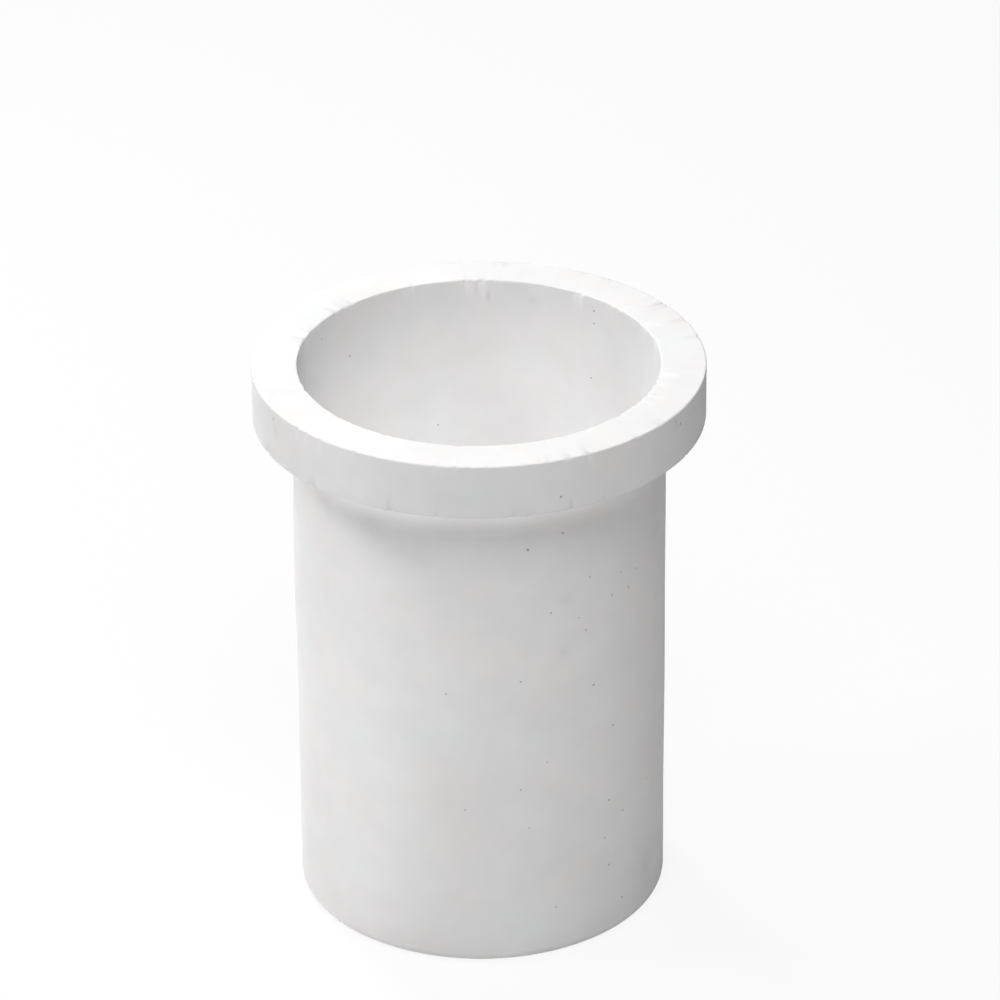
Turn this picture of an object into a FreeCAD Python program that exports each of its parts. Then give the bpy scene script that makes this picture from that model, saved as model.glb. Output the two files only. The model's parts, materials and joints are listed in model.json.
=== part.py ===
import FreeCAD, Part
import math
import os
import Sketcher

# Flanged foundry crucible: one casting of white fused-silica refractory.
# A straight round pot stands on its flat base. A thick plain flange is cast round the mouth, and
# the pot hangs from that flange when it sits in a furnace coil or a pouring ring. A cove runs
# under the flange, where it grows out of the pot. The melt space is as wide as the pot allows
# at the mouth, leans in at a steady slope so that the frozen heel slides out, and ends in a
# round corner and a flat floor.
# Frame: origin at the centre of the base, +Z up the axis, sizes in millimetres.

NODE = "crucible"

SIZES = [
    # name, size in mm (degrees for the lean), meaning
    ("overall_height", 260.0, "from the base to the top face"),
    ("pot_diameter", 165.0, "outside of the straight pot"),
    ("base_edge_radius", 5.0, "round between pot and base"),
    ("flange_overhang", 17.5, "how far the flange stands out from the pot"),
    ("flange_thickness", 25.0, "from the top face to the flange's underside"),
    ("flange_edge_bevel", 1.0, "both outer edges of the flange, rubbed off"),
    ("flange_cove_radius", 15.0, "cove between the flange's underside and the pot"),
    ("wall_at_mouth", 2.5, "from the mouth's lip out to the line of the pot"),
    ("lip_bevel", 0.7, "the mouth's lip, rubbed off"),
    ("wall_lean", 4.9, "degrees that the melt space's wall leans in on its way down"),
    ("floor_thickness", 25.0, "refractory under the melt"),
    ("melt_corner_radius", 30.0, "round between the leaning wall and the melt floor"),
]

# The sketcher counts the ends of a line or arc up from one, and its own origin and vertical axis
# down from minus one.
START, END = range(1, 3)
ORIGIN, VERTICAL_AXIS = range(-1, -3, -1)


def make_sizes_sheet(doc):
    """The driving dimensions, one to a row: name, size, meaning."""
    sheet = doc.addObject("Spreadsheet::Sheet", "Sizes")
    for row, (name, size, meaning) in enumerate(SIZES, start=1):
        sheet.set(f"A{row}", name)
        sheet.set(f"B{row}", str(size))
        sheet.set(f"C{row}", meaning)
        sheet.setAlias(f"B{row}", name)
    doc.recompute()
    return sheet


def add_half_section(body, name):
    """An empty sketch in the body's XZ plane: across is the radius, up is the height."""
    plane = next(item for item in body.Origin.OriginFeatures if item.Role == "XZ_Plane")
    sketch = body.newObject("Sketcher::SketchObject", name)
    sketch.AttachmentSupport = (plane, [""])
    sketch.MapMode = "FlatFace"
    return sketch


def draw_line(sketch, start, end):
    """A straight line between two points, each given as (across, up)."""
    return sketch.addGeometry(
        Part.LineSegment(FreeCAD.Vector(*start, 0), FreeCAD.Vector(*end, 0)), False)


def join(sketch, kind, first, second):
    """Join two ends, each given as (line, START or END): Coincident, or Tangent for smooth."""
    sketch.addConstraint(Sketcher.Constraint(kind, *first, *second))


def level_and_plumb(sketch, level_lines, plumb_lines):
    """Keep the first lines horizontal and the others vertical."""
    for line in level_lines:
        sketch.addConstraint(Sketcher.Constraint("Horizontal", line))
    for line in plumb_lines:
        sketch.addConstraint(Sketcher.Constraint("Vertical", line))


def bind(sketch, name, formula, kind, *where_and_value):
    """A named dimension of the sketch, driven by the sheet."""
    index = sketch.addConstraint(Sketcher.Constraint(kind, *where_and_value))
    sketch.renameConstraint(index, name)
    sketch.setExpression(f"Constraints.{name}", formula)


def turn_about_axis(body, kind, name, sketch):
    """A full turn of a half section about the sketch's own vertical axis."""
    feature = body.newObject(kind, name)
    feature.Profile = sketch
    feature.ReferenceAxis = (sketch, ["V_Axis"])
    feature.Angle = 360.0
    sketch.Visibility = False
    return feature


def make_blank(body, sheet):
    """The outside: pot and flange as one solid turning, still full inside."""
    pot = sheet.pot_diameter / 2
    flange = pot + sheet.flange_overhang
    top = sheet.overall_height
    underside = top - sheet.flange_thickness
    corners = [(0, 0), (pot, 0), (pot, underside), (flange, underside), (flange, top), (0, top)]

    outline = add_half_section(body, "BlankOutline")
    lines = [draw_line(outline, corner, following)
             for corner, following in zip(corners, corners[1:] + corners[:1])]
    for line, following in zip(lines, lines[1:] + lines[:1]):
        join(outline, "Coincident", (line, END), (following, START))
    base, pot_side, flange_underside, flange_side, top_face, axis = lines
    level_and_plumb(outline, [base, flange_underside, top_face], [pot_side, flange_side, axis])
    join(outline, "Coincident", (base, START), (ORIGIN, START))

    bind(outline, "pot_radius", "Sizes.pot_diameter / 2",
         "DistanceX", base, START, base, END, pot)
    bind(outline, "overhang", "Sizes.flange_overhang",
         "DistanceX", flange_underside, START, flange_underside, END, flange - pot)
    bind(outline, "thickness", "Sizes.flange_thickness",
         "DistanceY", flange_side, START, flange_side, END, top - underside)
    bind(outline, "height", "Sizes.overall_height", "DistanceY", axis, END, axis, START, top)
    turn_about_axis(body, "PartDesign::Revolution", "Blank", outline)


def make_melt_space(body, sheet):
    """The inside: leaning wall, round corner and small flat floor, turned out of the blank."""
    mouth = sheet.pot_diameter / 2 - sheet.wall_at_mouth
    top = sheet.overall_height
    floor_level = sheet.floor_thickness
    lean = math.radians(sheet.wall_lean)
    radius = sheet.melt_corner_radius
    centre_up = floor_level + radius
    centre_across = mouth - (top - centre_up) * math.tan(lean) - radius / math.cos(lean)
    wall_foot = (centre_across + radius * math.cos(lean), centre_up - radius * math.sin(lean))

    outline = add_half_section(body, "MeltSpaceOutline")
    circle = Part.Circle(FreeCAD.Vector(centre_across, centre_up, 0), FreeCAD.Vector(0, 0, 1),
                         radius)
    wall = draw_line(outline, wall_foot, (mouth, top))
    mouth_line = draw_line(outline, (mouth, top), (0, top))
    axis = draw_line(outline, (0, top), (0, floor_level))
    floor = draw_line(outline, (0, floor_level), (centre_across, floor_level))
    corner = outline.addGeometry(Part.ArcOfCircle(circle, -math.pi / 2, -lean), False)

    join(outline, "Coincident", (wall, END), (mouth_line, START))
    join(outline, "Coincident", (mouth_line, END), (axis, START))
    join(outline, "Coincident", (axis, END), (floor, START))
    join(outline, "Tangent", (floor, END), (corner, START))
    join(outline, "Tangent", (corner, END), (wall, START))
    level_and_plumb(outline, [mouth_line, floor], [axis])
    outline.addConstraint(Sketcher.Constraint("PointOnObject", axis, START, VERTICAL_AXIS))

    bind(outline, "mouth_radius", "Sizes.pot_diameter / 2 - Sizes.wall_at_mouth",
         "DistanceX", mouth_line, END, mouth_line, START, mouth)
    bind(outline, "top_level", "Sizes.overall_height",
         "DistanceY", ORIGIN, START, axis, START, top)
    bind(outline, "floor_level", "Sizes.floor_thickness",
         "DistanceY", ORIGIN, START, axis, END, floor_level)
    bind(outline, "corner_radius", "Sizes.melt_corner_radius", "Radius", corner, radius)
    bind(outline, "wall_slope", "90 deg - Sizes.wall_lean * 1 deg",
         "Angle", wall, math.pi / 2 - lean)
    turn_about_axis(body, "PartDesign::Groove", "MeltSpace", outline)


def ring_edge(shape, radius, level):
    """The name of the circular edge of this radius at this height."""
    for number, edge in enumerate(shape.Edges, start=1):
        if not isinstance(edge.Curve, Part.Circle):
            continue
        if abs(edge.Curve.Radius - radius) < 0.01 and abs(edge.Curve.Center.z - level) < 0.01:
            return f"Edge{number}"
    raise RuntimeError(f"no ring edge of radius {radius} at height {level}")


def dress_rings(body, kind, name, rings, dimension, formula):
    """Round or bevel the ring edges, each given by its radius and height, by the sheet's size."""
    base = body.Tip
    feature = body.newObject(kind, name)
    feature.Base = (base, [ring_edge(base.Shape, radius, level) for radius, level in rings])
    feature.setExpression(dimension, formula)
    body.Document.recompute()


def dress_edges(body, sheet):
    """The cove under the flange, the round of the base and the rubbed edges."""
    pot = sheet.pot_diameter / 2
    flange = pot + sheet.flange_overhang
    mouth = pot - sheet.wall_at_mouth
    top = sheet.overall_height
    underside = top - sheet.flange_thickness

    # The cove always leaves a narrow flat ring outside it for the flange to hang from.
    dress_rings(body, "PartDesign::Fillet", "FlangeCove", [(pot, underside)], "Radius",
                "min(Sizes.flange_cove_radius; Sizes.flange_overhang - 2 * Sizes.flange_edge_bevel)")
    dress_rings(body, "PartDesign::Fillet", "BaseEdge", [(pot, 0)],
                "Radius", "Sizes.base_edge_radius")
    dress_rings(body, "PartDesign::Chamfer", "FlangeEdges", [(flange, top), (flange, underside)],
                "Size", "Sizes.flange_edge_bevel")
    dress_rings(body, "PartDesign::Chamfer", "Lip", [(mouth, top)], "Size", "Sizes.lip_bevel")


def make_crucible(doc, sheet):
    """The whole crucible, one body."""
    body = doc.addObject("PartDesign::Body", "Crucible")
    body.Label = NODE
    body.Placement = FreeCAD.Placement()
    make_blank(body, sheet)
    doc.recompute()
    full_volume = body.Shape.Volume
    make_melt_space(body, sheet)
    doc.recompute()
    if body.Shape.Volume >= full_volume:
        raise RuntimeError("the melt space cut nothing out of the blank")
    dress_edges(body, sheet)
    return body


def check_document(doc, body):
    """Stop if any object failed or the casting isn't one sound solid."""
    for item in doc.Objects:
        if "Invalid" in item.State or "Error" in item.State:
            raise RuntimeError(f"{item.Name} failed: {item.State}")
    shape = body.Shape
    if shape.isNull() or not shape.isValid() or len(shape.Solids) != 1:
        raise RuntimeError(f"{body.Label} isn't one valid solid")


doc = FreeCAD.newDocument("FoundryCrucible")
sizes = make_sizes_sheet(doc)
crucible = make_crucible(doc, sizes)
doc.recompute()
check_document(doc, crucible)

os.makedirs("parts", exist_ok=True)
crucible.Shape.exportStep(f"parts/{crucible.Label}.step")

print(f"{crucible.Label}: {crucible.Shape.Volume / 1000:.0f} cm3 of refractory")
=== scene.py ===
import bmesh
import bpy
import json
import math
from mathutils import Matrix, Vector, kdtree, noise


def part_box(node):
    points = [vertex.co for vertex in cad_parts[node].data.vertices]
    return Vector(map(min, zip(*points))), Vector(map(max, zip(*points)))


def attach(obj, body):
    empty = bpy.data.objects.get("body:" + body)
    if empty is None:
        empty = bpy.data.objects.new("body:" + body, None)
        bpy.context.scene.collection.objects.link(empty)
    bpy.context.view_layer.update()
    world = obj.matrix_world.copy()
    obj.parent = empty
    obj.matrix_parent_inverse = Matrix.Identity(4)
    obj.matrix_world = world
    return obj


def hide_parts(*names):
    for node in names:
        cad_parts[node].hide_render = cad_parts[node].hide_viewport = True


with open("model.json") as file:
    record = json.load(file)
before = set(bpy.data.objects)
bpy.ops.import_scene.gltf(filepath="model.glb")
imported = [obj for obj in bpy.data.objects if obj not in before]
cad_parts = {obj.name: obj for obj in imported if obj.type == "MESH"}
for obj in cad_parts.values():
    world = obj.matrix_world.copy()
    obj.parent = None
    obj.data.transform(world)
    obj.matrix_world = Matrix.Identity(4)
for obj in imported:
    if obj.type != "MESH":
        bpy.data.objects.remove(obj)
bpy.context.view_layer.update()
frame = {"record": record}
bpy.context.scene.view_settings.view_transform = "Standard"


# ---------------------------------------------------------------------------------------------
# Camera. A long lens looks down on the crucible from the front, a little off level, so that the
# mouth shows as a wide oval and the pot's sides run nearly straight.
# ---------------------------------------------------------------------------------------------
base_corner, top_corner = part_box("crucible")
height = top_corner.z

camera_data = bpy.data.cameras.new("camera")
camera_data.lens = 229.5
camera_data.sensor_width = 36
camera_data.clip_end = 50
camera = bpy.data.objects.new("camera", camera_data)
bpy.context.collection.objects.link(camera)
bpy.context.scene.camera = camera

looking_down = math.radians(28.25)
camera_roll = math.radians(-0.35)
level_turn = Matrix.Rotation(math.pi / 2 - looking_down, 3, "X")
camera.rotation_euler = (level_turn @ Matrix.Rotation(camera_roll, 3, "Z")).to_euler()
# From the centre of the mouth: right, down and back, along the level camera's own axes.
camera.location = Vector((0, 0, height)) + level_turn @ Vector((0.0089, -0.0612, 2.799))


# ---------------------------------------------------------------------------------------------
# Studio. The crucible stands on a wide sheet of white card. Two small softboxes stand high behind
# it and on its left, and a large one hangs over its front. Large weak ones fill in from low on the
# left and from the right, and a faint one lies on the card, facing up.
# ---------------------------------------------------------------------------------------------
lamp_distance = 1.7


def softbox(name, azimuth, elevation, size, watts):
    """A square softbox that faces the pot. Azimuth 0 is the camera's side, 90 its right."""
    lamp = bpy.data.lights.new(name, "AREA")
    lamp.shape = "SQUARE"
    lamp.size = size
    lamp.energy = watts
    turn, lift = math.radians(azimuth), math.radians(elevation)
    towards = Vector((math.sin(turn) * math.cos(lift), -math.cos(turn) * math.cos(lift),
                      math.sin(lift)))
    stand = bpy.data.objects.new(name, lamp)
    bpy.context.collection.objects.link(stand)
    stand.location = Vector((0, 0, height / 2)) + lamp_distance * towards
    stand.rotation_euler = towards.to_track_quat("Z", "Y").to_euler()
    return stand


softbox("rear_softbox", -150, 48, 0.4, 15.2)
softbox("left_softbox", -90, 48, 0.4, 8.8)
softbox("low_left_softbox", -105, 12, 0.9, 3.2)
softbox("overhead_softbox", 0, 62, 0.9, 15.0)
softbox("front_right_softbox", 30, 38, 0.9, 3.0)

bounce_card = softbox("bounce_card", -60, 0, 0.5, 0.4)
bounce_card.location = (-0.39, -0.225, 0.01)
bounce_card.rotation_euler = (math.pi, 0, math.radians(-60))
bounce_card.visible_camera = False

world = bpy.data.worlds.new("studio")
bpy.context.scene.world = world
world.use_nodes = True
world_nodes = world.node_tree.nodes
world_links = world.node_tree.links
world_nodes.clear()


def white_where_seen(tree, lit, seen_share):
    """The lit shader, mixed with plain white by this share wherever it is looked at."""
    light_path = tree.nodes.new("ShaderNodeLightPath")
    seen = tree.nodes.new("ShaderNodeMath")
    seen.operation = "MAXIMUM"
    tree.links.new(light_path.outputs["Is Camera Ray"], seen.inputs[0])
    tree.links.new(light_path.outputs["Is Glossy Ray"], seen.inputs[1])
    also_through = tree.nodes.new("ShaderNodeMath")
    also_through.operation = "MAXIMUM"
    tree.links.new(seen.outputs[0], also_through.inputs[0])
    tree.links.new(light_path.outputs["Is Transmission Ray"], also_through.inputs[1])
    share = tree.nodes.new("ShaderNodeMath")
    share.operation = "MULTIPLY"
    share.inputs[1].default_value = seen_share
    tree.links.new(also_through.outputs[0], share.inputs[0])
    white = tree.nodes.new("ShaderNodeEmission")
    mix = tree.nodes.new("ShaderNodeMixShader")
    tree.links.new(share.outputs[0], mix.inputs["Fac"])
    tree.links.new(lit, mix.inputs[1])
    tree.links.new(white.outputs[0], mix.inputs[2])
    return mix.outputs[0]


ambient = world_nodes.new("ShaderNodeBackground")
ambient.inputs["Strength"].default_value = 0.02
world_output = world_nodes.new("ShaderNodeOutputWorld")
world_links.new(white_where_seen(world.node_tree, ambient.outputs[0], 1),
                world_output.inputs["Surface"])

card = bpy.data.materials.new("white_card")
card.use_nodes = True
card_nodes = card.node_tree.nodes
card_nodes.clear()
card_surface = card_nodes.new("ShaderNodeBsdfDiffuse")
card_surface.inputs["Color"].default_value = (0.85, 0.85, 0.85, 1)
card_output = card_nodes.new("ShaderNodeOutputMaterial")
card.node_tree.links.new(white_where_seen(card.node_tree, card_surface.outputs[0], 0.88),
                         card_output.inputs["Surface"])

floor_mesh = bmesh.new()
bmesh.ops.create_grid(floor_mesh, x_segments=1, y_segments=1, size=6)
floor_data = bpy.data.meshes.new("floor")
floor_mesh.to_mesh(floor_data)
floor_mesh.free()
floor_data.materials.append(card)
floor = bpy.data.objects.new("floor", floor_data)
bpy.context.collection.objects.link(floor)


# ---------------------------------------------------------------------------------------------
# Crucible. One casting of white fused silica: a pot with a thick flange round its mouth. Its edges
# are rubbed off and nicked where grains came away, its wall is a little out of round, and air pits
# are open on its surface.
# ---------------------------------------------------------------------------------------------
pot_mount = next(mount for mount in frame["record"]["mounts"] if mount["name"] == "pot")
pot_radius = pot_mount["dims"]["r_mm"] / 1000
straight_half = pot_mount["dims"]["length_mm"] / 2000
base_round = pot_mount["pos_m"][2] - straight_half
inside_cad_box = 0.00001
flange_radius = top_corner.x - inside_cad_box
flange_thickness = 0.025
flange_underside = height - flange_thickness
cove_radius = flange_underside - (pot_mount["pos_m"][2] + straight_half)
wall_at_mouth = 0.0025
mouth_radius = pot_radius - wall_at_mouth
wall_lean = math.radians(4.9)
melt_floor = 0.025
melt_corner_radius = 0.03
melt_corner = melt_corner_radius * math.tan((math.pi / 2 - wall_lean) / 2)
flange_edge = 0.0006
lip_edge = 0.0004
beside_edge = 0.0013
# A radius inside the wall at the mouth: the pot's outer skin lies beyond it, the melt space within.
between_skins = 0.081


def bore_radius(level):
    """The radius of the melt space's wall at this height."""
    return mouth_radius - (height - level) * math.tan(wall_lean)


# Half of the section, from the middle of the base round to the middle of the melt floor: radius,
# height, how far back the corner is rounded, and in how many steps. The points beside an edge
# keep its rounding and its nicks narrow.
half_section = [
    (0, 0, 0, 0),
    (pot_radius, 0, base_round, 6),
    (pot_radius, flange_underside, cove_radius, 10),
    (flange_radius - beside_edge, flange_underside, 0, 0),
    (flange_radius, flange_underside, flange_edge, 3),
    (flange_radius, flange_underside + beside_edge, 0, 0),
    (flange_radius, height - beside_edge, 0, 0),
    (flange_radius, height, flange_edge, 3),
    (flange_radius - beside_edge, height, 0, 0),
    (mouth_radius + beside_edge, height, 0, 0),
    (mouth_radius, height, lip_edge, 2),
    (bore_radius(height - beside_edge), height - beside_edge, 0, 0),
    (bore_radius(melt_floor), melt_floor, melt_corner, 8),
    (0, melt_floor, 0, 0),
]
ring_spacing = 0.009
wedges = 8
steps_in_wedge = 96

casting = bmesh.new()
corners = [casting.verts.new((radius, 0, level)) for radius, level, *rest in half_section]
for pair in zip(corners, corners[1:]):
    casting.edges.new(pair)
for corner, (radius, level, back, steps) in zip(corners, half_section):
    if steps:
        bmesh.ops.bevel(casting, geom=[corner], offset=back, segments=steps, profile=0.5,
                        affect="VERTICES", material=-1)
for run in list(casting.edges):
    cuts = math.ceil(run.calc_length() / ring_spacing) - 1
    if cuts > 0:
        bmesh.ops.subdivide_edges(casting, edges=[run], cuts=cuts)
bmesh.ops.spin(casting, geom=casting.verts[:] + casting.edges[:], cent=(0, 0, 0),
               axis=(0, 0, 1), angle=math.tau / wedges, steps=steps_in_wedge)
wedge = casting.verts[:] + casting.edges[:] + casting.faces[:]
for turn in range(1, wedges):
    copy = bmesh.ops.duplicate(casting, geom=wedge)["geom"]
    bmesh.ops.rotate(casting, verts=[part for part in copy if isinstance(part, bmesh.types.BMVert)],
                     cent=(0, 0, 0), matrix=Matrix.Rotation(turn * math.tau / wedges, 3, "Z"))
bmesh.ops.remove_doubles(casting, verts=casting.verts, dist=0.00001)
bmesh.ops.recalc_face_normals(casting, faces=casting.faces)

# Painted shade: a share per point that darkens the colour in the air pits by their depth, and faintly
# in the nicks.
recess_shade = casting.verts.layers.float.new("recess_shade")


def on_wall(azimuth, level, radius):
    """The point of a wall of this radius, at this azimuth in degrees and height in mm."""
    turn = math.radians(azimuth)
    return Vector((radius * math.sin(turn), -radius * math.cos(turn), level / 1000))


# The wall is out of round by a few tenths of a millimetre, fullest on its left above the middle.
uneven_from, uneven_to, fade_length = 0.02, 0.215, 0.03
fullest_level, fullness_spread = 0.165, 0.05
swell_depth, fullness_depth = 0.0003, 0.0006
for vert in casting.verts:
    across = Vector((vert.co.x, vert.co.y, 0))
    if across.length < between_skins or not uneven_from <= vert.co.z <= uneven_to:
        continue
    outward = across.normalized()
    fade = min(1, (vert.co.z - uneven_from) / fade_length, (uneven_to - vert.co.z) / fade_length)
    swell = noise.noise(vert.co * 14)
    near_fullest = math.exp(-((vert.co.z - fullest_level) / fullness_spread) ** 2)
    fullness = max(0, -outward.x) ** 2 * near_fullest
    vert.co += outward * fade * (swell_depth * swell + fullness_depth * fullness)

# Grains have come away along the flange's two edges and the mouth's lip.
edge_reach, lip_reach = 0.0012, 0.0008
deepest_nick = 0.00045
for vert in casting.verts:
    out = math.hypot(vert.co.x, vert.co.y)
    near_edge = out > flange_radius - edge_reach and (
        vert.co.z > height - edge_reach or vert.co.z < flange_underside + edge_reach)
    near_lip = abs(out - mouth_radius) < lip_reach and vert.co.z > height - lip_reach
    if not near_edge and not near_lip:
        continue
    coarse = noise.noise(vert.co * 210 + Vector((3, 7, 1)))
    fine = noise.noise(vert.co * 620)
    nick = max(0, coarse * 0.7 + fine * 0.6 - 0.18)
    inward = Vector((vert.co.x, vert.co.y, 0)).normalized() * (-1 if near_edge else 1)
    downward = Vector((0, 0, -1 if vert.co.z > flange_underside + 0.005 else 1))
    vert.co += (inward + downward) * min(deepest_nick, nick * 0.0011)
    # The nicks are painted a little darker, as shade.
    vert[recess_shade] = min(0.2, nick * 0.6)

# Air pits, each with its azimuth in degrees, its height and its width in mm.
pot_pits = [
    (25.9, 214.0, 1.1), (14.6, 208.8, 1.3), (44.3, 174.7, 0.9), (52.2, 173.9, 1.0),
    (35.4, 188.3, 0.8), (21.9, 175.7, 0.9), (31.4, 169.7, 0.8), (34.0, 162.5, 0.8),
    (48.3, 184.0, 0.8), (56.0, 181.0, 0.8), (12.3, 143.5, 1.0), (37.0, 133.3, 1.1),
    (44.9, 108.6, 0.9), (20.5, 100.9, 0.8), (63.8, 68.1, 0.9), (12.1, 88.7, 0.8),
    (43.3, 70.9, 0.9), (49.7, 61.7, 0.9), (-5.1, 79.5, 0.8), (14.6, 68.6, 0.7),
    (41.6, 52.2, 0.9), (43.4, 37.0, 1.1), (49.4, 16.2, 1.0), (23.4, 24.9, 0.8),
    (-10.6, 138.0, 0.8), (-118, 96, 1.0), (-142, 171, 0.9), (128, 62, 1.1), (163, 139, 0.9),
    (101, 188, 0.8), (-171, 44, 0.9),
]
flange_pits = [(20.5, 242.1, 1.2), (58.5, 256.5, 1.1), (61.0, 253.5, 1.3), (-63.0, 255.5, 1.0),
               (146.0, 247.0, 1.0), (-128.0, 250.0, 1.1)]
bore_pits = [(139.7, 253.7, 1.0), (139.3, 247.6, 1.0), (-132.0, 236.1, 1.1), (-118.4, 252.1, 0.7),
             (139.2, 221.3, 0.9), (-165.1, 190.8, 0.8), (24.0, 207.0, 0.9), (-48.0, 171.0, 0.9)]
pits = [(on_wall(azimuth, level, pot_radius), width / 1000) for azimuth, level, width in pot_pits]
pits += [(on_wall(azimuth, level, flange_radius), width / 1000)
         for azimuth, level, width in flange_pits]
pits += [(on_wall(azimuth, level, bore_radius(level / 1000)), width / 1000)
         for azimuth, level, width in bore_pits]

# A fine grid is cut into the wall round each pit, and the pit is pressed into it.
shortest_on_wall = 0.003
upright = [edge for edge in casting.edges
           if abs(edge.verts[0].co.z - edge.verts[1].co.z) > 0.6 * edge.calc_length()
           and edge.calc_length() > shortest_on_wall]
middles = kdtree.KDTree(len(upright))
for number, edge in enumerate(upright):
    middles.insert((edge.verts[0].co + edge.verts[1].co) / 2, number)
middles.balance()
coarse_margin, fine_margin = 0.0008, 0.0003
around_pits = set()
for place, width in pits:
    for middle, number, distance in middles.find_range(place, ring_spacing):
        if math.hypot(middle.x - place.x, middle.y - place.y) < width + coarse_margin:
            around_pits.add(number)
cut = bmesh.ops.subdivide_edges(casting, edges=[upright[number] for number in sorted(around_pits)],
                                cuts=15, use_grid_fill=True)
points = [part for part in cut["geom"] if isinstance(part, bmesh.types.BMVert)]
near_pits = set()
for place, width in pits:
    for point in points:
        if (point.co - place).length < 0.9 * width + fine_margin:
            near_pits.update(face for face in point.link_faces if len(face.verts) == 4)
fine_edges = [edge for edge in casting.edges
              if any(face in near_pits for face in edge.link_faces)]
bmesh.ops.subdivide_edges(casting, edges=fine_edges, cuts=2, use_grid_fill=True)

fine_points = kdtree.KDTree(len(casting.verts))
casting.verts.ensure_lookup_table()
for number, vert in enumerate(casting.verts):
    fine_points.insert(vert.co, number)
fine_points.balance()
pit_depth_share = 0.45
for place, width in pits:
    out = Vector((place.x, place.y, 0))
    inside_wall = out.length < between_skins
    into_wall = out.normalized() * (1 if inside_wall else -1)
    for point, number, distance in fine_points.find_range(place, 0.8 * width):
        vert = casting.verts[number]
        ragged = 1 + 0.3 * noise.noise(point * 900)
        depth = max(0, 1 - (distance / (0.62 * width * ragged)) ** 2)
        vert.co += into_wall * pit_depth_share * width * depth
        # The pits are painted darker the deeper they go, as shade.
        vert[recess_shade] = max(vert[recess_shade], min(1, 1.4 * depth))

crucible_data = bpy.data.meshes.new("crucible_casting")
for face in casting.faces:
    face.smooth = True
casting.to_mesh(crucible_data)
casting.free()
crucible = bpy.data.objects.new("crucible_casting", crucible_data)
bpy.context.collection.objects.link(crucible)

# Fused silica, white and dry. Each region has its own tone. The melt space is painted paler low down
# and darker by the mouth, and the cove paler, as painted light and shade; the flange side and top
# face are painted darker, as shade. The skin is faintly blotched warm and cool, smudged in places,
# with painted shade low on its right, and painted grey as shade in its pits and nicks.
refractory = bpy.data.materials.new("fused_silica")
refractory.use_nodes = True
nodes = refractory.node_tree.nodes
links = refractory.node_tree.links
skin = nodes["Principled BSDF"]
skin.inputs["Roughness"].default_value = 0.85
skin.inputs["Specular IOR Level"].default_value = 0.15

where = nodes.new("ShaderNodeTexCoord").outputs["Object"]
split = nodes.new("ShaderNodeSeparateXYZ")
links.new(where, split.inputs[0])
level_up = split.outputs["Z"]
flat = nodes.new("ShaderNodeVectorMath")
flat.operation = "MULTIPLY"
flat.inputs[1].default_value = (1, 1, 0)
links.new(where, flat.inputs[0])
outwards = nodes.new("ShaderNodeVectorMath")
outwards.operation = "LENGTH"
links.new(flat.outputs[0], outwards.inputs[0])
distance_out = outwards.outputs["Value"]


def ramp(source, start, end, low, high):
    """A value that goes evenly from low to high as the source goes from start to end."""
    node = nodes.new("ShaderNodeMapRange")
    node.inputs["From Min"].default_value = start
    node.inputs["From Max"].default_value = end
    node.inputs["To Min"].default_value = low
    node.inputs["To Max"].default_value = high
    links.new(source, node.inputs["Value"])
    return node.outputs["Result"]


def feed(socket, value):
    """Link the value to the socket, or set it there if it is a plain number."""
    if isinstance(value, bpy.types.NodeSocket):
        links.new(value, socket)
    else:
        socket.default_value = value


def combine(operation, first, second):
    """Two values brought together by a math node; either may be a plain number."""
    node = nodes.new("ShaderNodeMath")
    node.operation = operation
    for socket, value in zip(node.inputs, (first, second)):
        feed(socket, value)
    return node.outputs[0]


def blotches(scale, detail, low, high):
    """Soft cloudy noise, brought to values between low and high."""
    node = nodes.new("ShaderNodeTexNoise")
    node.inputs["Scale"].default_value = scale
    node.inputs["Detail"].default_value = detail
    links.new(where, node.inputs["Vector"])
    return ramp(node.outputs["Fac"], 0.3, 0.7, low, high)


def smudge(place, size, strength):
    """A soft grey or pale spot on the wall: its centre, its half sizes and how strong it is."""
    mapping = nodes.new("ShaderNodeMapping")
    mapping.vector_type = "TEXTURE"
    mapping.inputs["Location"].default_value = place
    mapping.inputs["Rotation"].default_value = (0, 0, math.atan2(place.x, -place.y))
    mapping.inputs["Scale"].default_value = size
    links.new(where, mapping.inputs["Vector"])
    spot = nodes.new("ShaderNodeTexGradient")
    spot.gradient_type = "QUADRATIC_SPHERE"
    links.new(mapping.outputs[0], spot.inputs[0])
    return ramp(spot.outputs["Fac"], 0, 1, 1, 1 + strength)


# Tones of the casting's faces: melt space, cove and pot, flange side and top face. Only the pot's is
# plain; the others carry painted light and shade.
above_base, cove_level = 0.01, 0.227
# The flange side's and top face's tones are set darker than the pot's, as painted shade.
pot_tone, side_painted_shade, top_painted_shade = 0.895, 0.825, 0.81
in_bore = combine("MULTIPLY", combine("LESS_THAN", distance_out, mouth_radius + 0.0003),
                  combine("GREATER_THAN", level_up, above_base))
# Painted light and shade: the melt space is paler deep down and darker up by the mouth.
bore_painted_light = ramp(level_up, 0.175, 0.256, 0.98, 0.85)
# Painted light: a paler band round the cove under the flange.
from_cove = combine("ABSOLUTE", combine("SUBTRACT", level_up, cove_level), 0)
cove_painted_light = ramp(from_cove, 0.004, 0.012, 0.99, pot_tone)
side_share = ramp(distance_out, flange_radius - 0.0008, flange_radius - 0.0003, 0, 1)
top_share = ramp(level_up, height - 0.0006, height - 0.0002, 0, 1)


def blend(share, under, over):
    """The first value, giving way to the second by the share."""
    node = nodes.new("ShaderNodeMix")
    node.data_type = "FLOAT"
    for socket, value in zip(node.inputs[:1] + node.inputs[2:4], (share, under, over)):
        feed(socket, value)
    return node.outputs[0]


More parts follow.
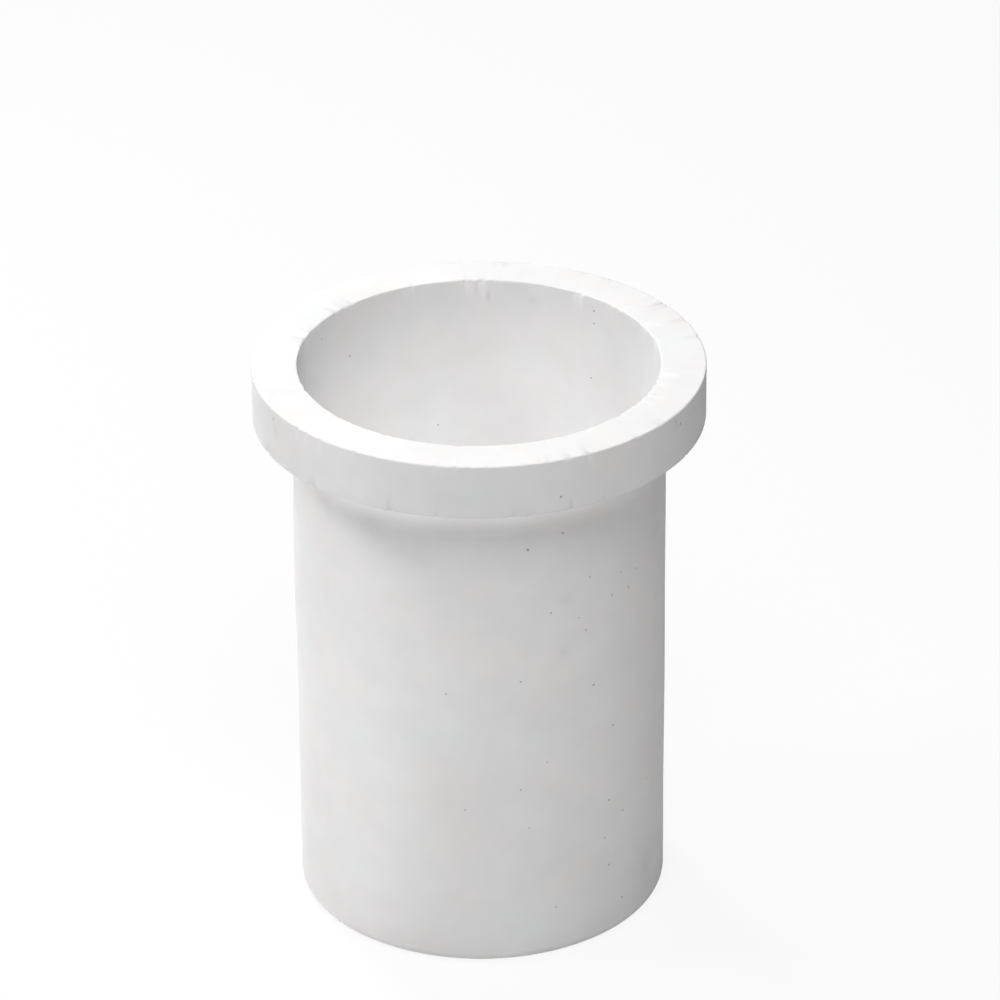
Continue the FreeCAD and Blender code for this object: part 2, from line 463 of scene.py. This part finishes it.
tone = blend(in_bore, cove_painted_light, bore_painted_light)
tone = blend(side_share, tone, side_painted_shade)
tone = blend(top_share, tone, top_painted_shade)
tone = combine("MULTIPLY", tone, blotches(28, 2, 0.975, 1.015))
tone = combine("MULTIPLY", tone, blotches(90, 3, 0.985, 1.01))

# Soft smudges, grey below zero strength and pale above it: azimuth in degrees, then height, radius,
# half width and half height in mm, then strength. The grey one at azimuth 63 and height 22 is painted
# shade low on the pot's right.
smudge_reach_in = 0.02
for azimuth, level, radius, half_width, half_height, strength in [
        (27, 181, 82.5, 9, 7, -0.05), (26, 154, 82.5, 6, 8, -0.05), (-35, 217, 82.5, 14, 7, -0.05),
        (-18, 203, 82.5, 13, 6, -0.04), (-27, 181, 82.5, 15, 7, -0.03), (63, 22, 82.5, 12, 14, -0.09),
        (-62, 251, 100, 5, 9, -0.08), (59, 254, 100, 7, 6, -0.06), (-5, 244, 100, 30, 9, -0.03),
        (177, 252, 79.3, 2, 6, -0.14), (162, 252, 79.3, 6, 5, -0.07), (86, 260, 95, 6, 5, -0.03),
        (12, 190, 82.5, 25, 16, 0.03), (150, 120, 82.5, 22, 17, -0.05), (-130, 60, 82.5, 18, 22, -0.04),
        (120, 247, 100, 14, 7, -0.06), (-60, 120, 82.5, 20, 26, 0.02)]:
    tone = combine("MULTIPLY", tone,
                   smudge(on_wall(azimuth, level, radius / 1000),
                          (half_width / 1000, smudge_reach_in, half_height / 1000), strength))

# Painted shade in the pits and nicks: the colour darkens by the recess share.
recess_shade_node = nodes.new("ShaderNodeAttribute")
recess_shade_node.attribute_name = "recess_shade"
tone = combine("MULTIPLY", tone, ramp(recess_shade_node.outputs["Fac"], 0, 1, 1, 0.55))

warm_and_cool = nodes.new("ShaderNodeMix")
warm_and_cool.data_type = "RGBA"
warm_and_cool.inputs["A"].default_value = (1, 0.978, 0.972, 1)
warm_and_cool.inputs["B"].default_value = (0.985, 0.99, 0.993, 1)
links.new(blotches(34, 1, 0, 1), warm_and_cool.inputs["Factor"])
toned = nodes.new("ShaderNodeVectorMath")
toned.operation = "SCALE"
links.new(warm_and_cool.outputs["Result"], toned.inputs[0])
links.new(tone, toned.inputs["Scale"])
links.new(toned.outputs[0], skin.inputs["Base Color"])

grain = nodes.new("ShaderNodeTexNoise")
grain.inputs["Scale"].default_value = 900
grain.inputs["Detail"].default_value = 3
links.new(where, grain.inputs["Vector"])
grain_bump = nodes.new("ShaderNodeBump")
grain_bump.inputs["Strength"].default_value = 0.15
grain_bump.inputs["Distance"].default_value = 0.0002
links.new(grain.outputs["Fac"], grain_bump.inputs["Height"])
links.new(grain_bump.outputs[0], skin.inputs["Normal"])

crucible_data.materials.append(refractory)
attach(crucible, "root")
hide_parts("crucible")
